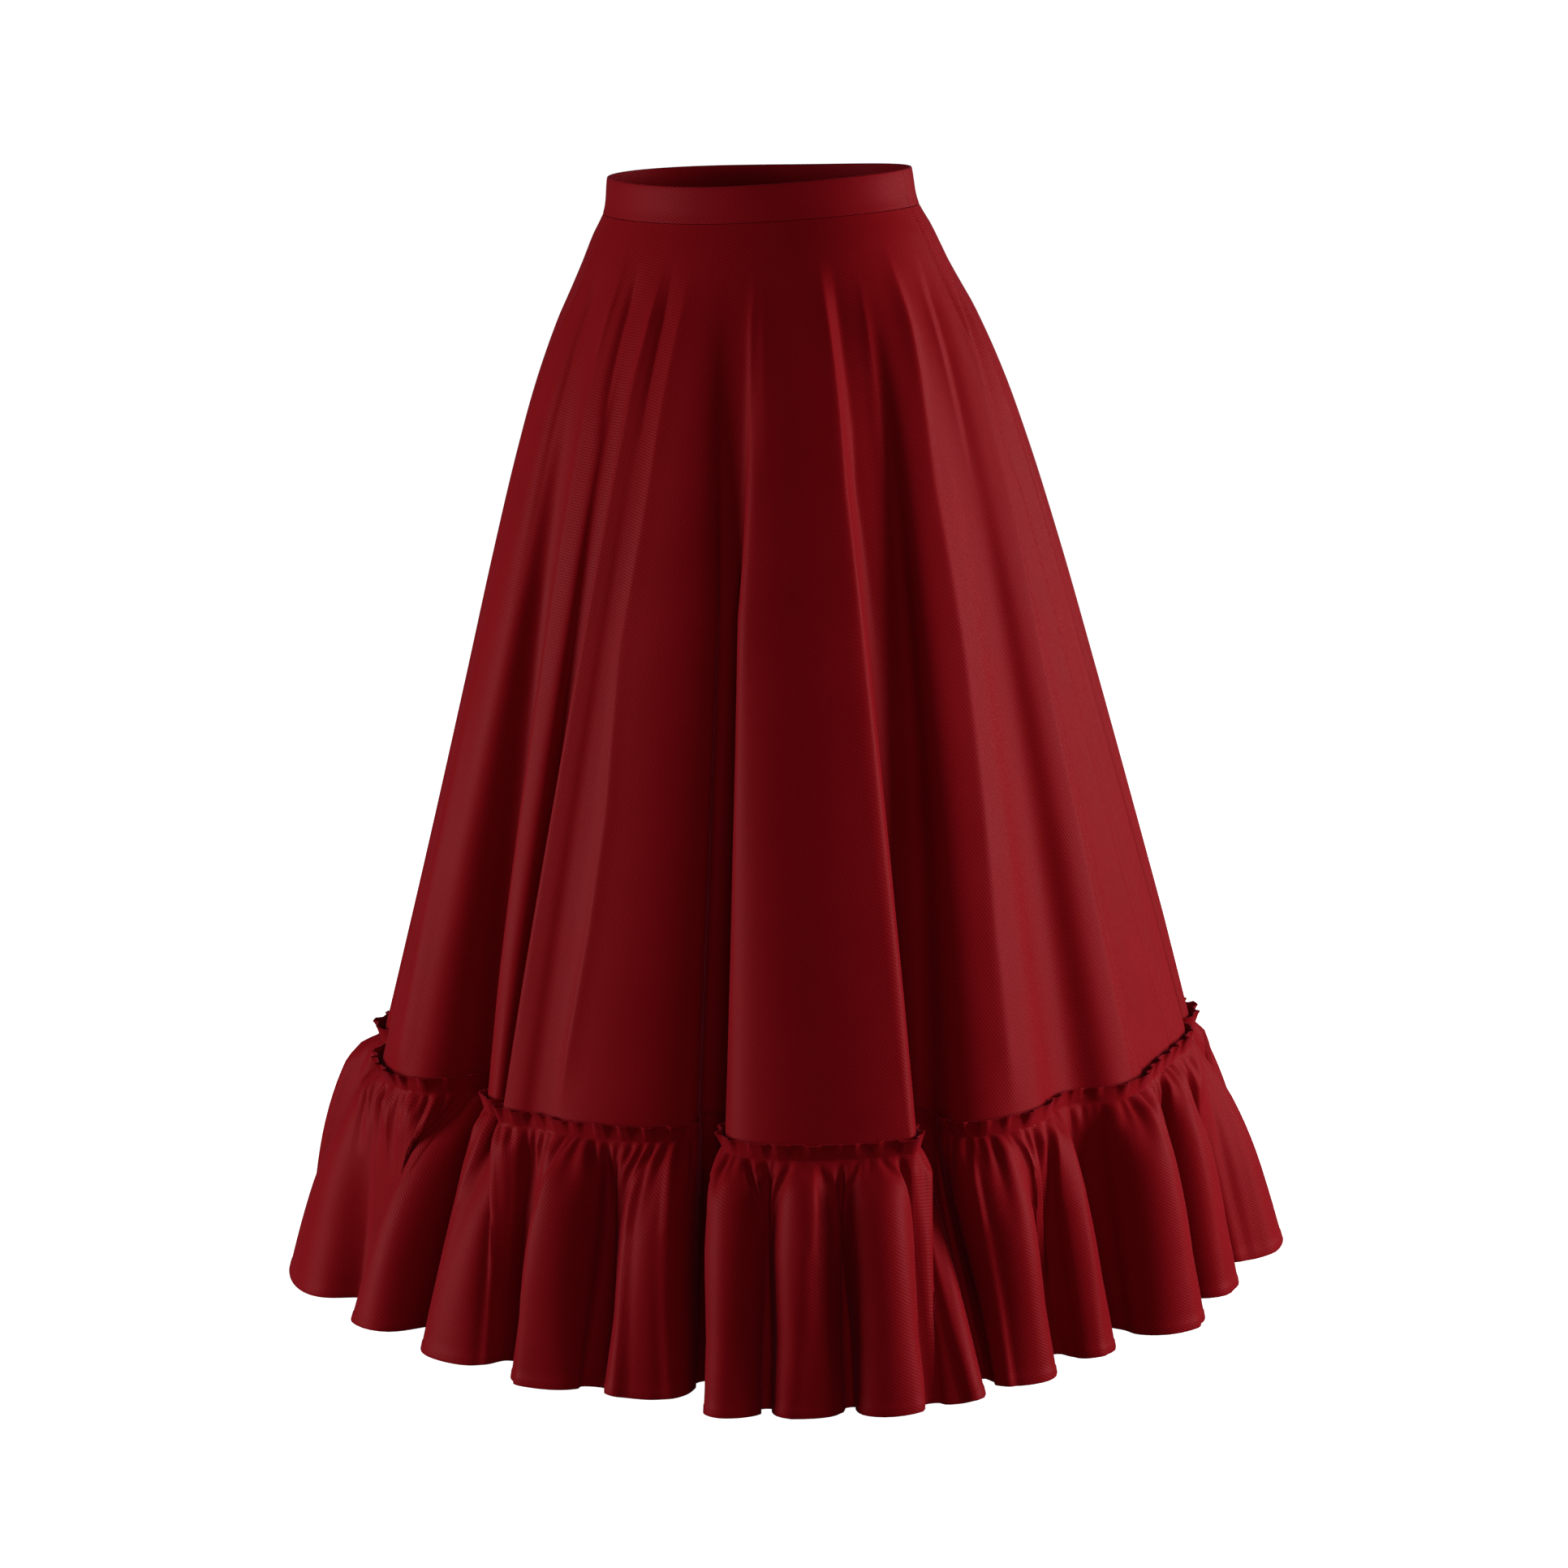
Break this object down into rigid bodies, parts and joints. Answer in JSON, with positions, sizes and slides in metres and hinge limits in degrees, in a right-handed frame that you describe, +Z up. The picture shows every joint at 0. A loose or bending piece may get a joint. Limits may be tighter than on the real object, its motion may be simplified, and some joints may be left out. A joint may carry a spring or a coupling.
{
  "type": "folk dance skirt",
  "caption": "Floor-length flared dance skirt in deep crimson cloth, with a plain contoured waistband, soft hanging flutes and a gathered flounce with a small ruched header at the hem.",
  "frame": {"origin": "centre of the waistband, halfway up it, where the wearer's waist holds the skirt", "axes": "+Z up along the wearer, the skirt's front faces -Y, the wearer's left is +X"},
  "size_m": [0.8297, 0.8225, 0.9205],
  "materials": {
    "waistband_cloth": "fine twill with a slight satin sheen",
    "panel_cloth": "fine twill with a slight satin sheen",
    "flounce_cloth": "fine twill with a slight satin sheen"
  },
  "bodies": {
    "root": {"waistband_front": "waistband_cloth", "waistband_back": "waistband_cloth", "panel_front": "panel_cloth", "panel_back": "panel_cloth", "flounce_front": "flounce_cloth", "flounce_back": "flounce_cloth"}
  },
  "joints": []
}
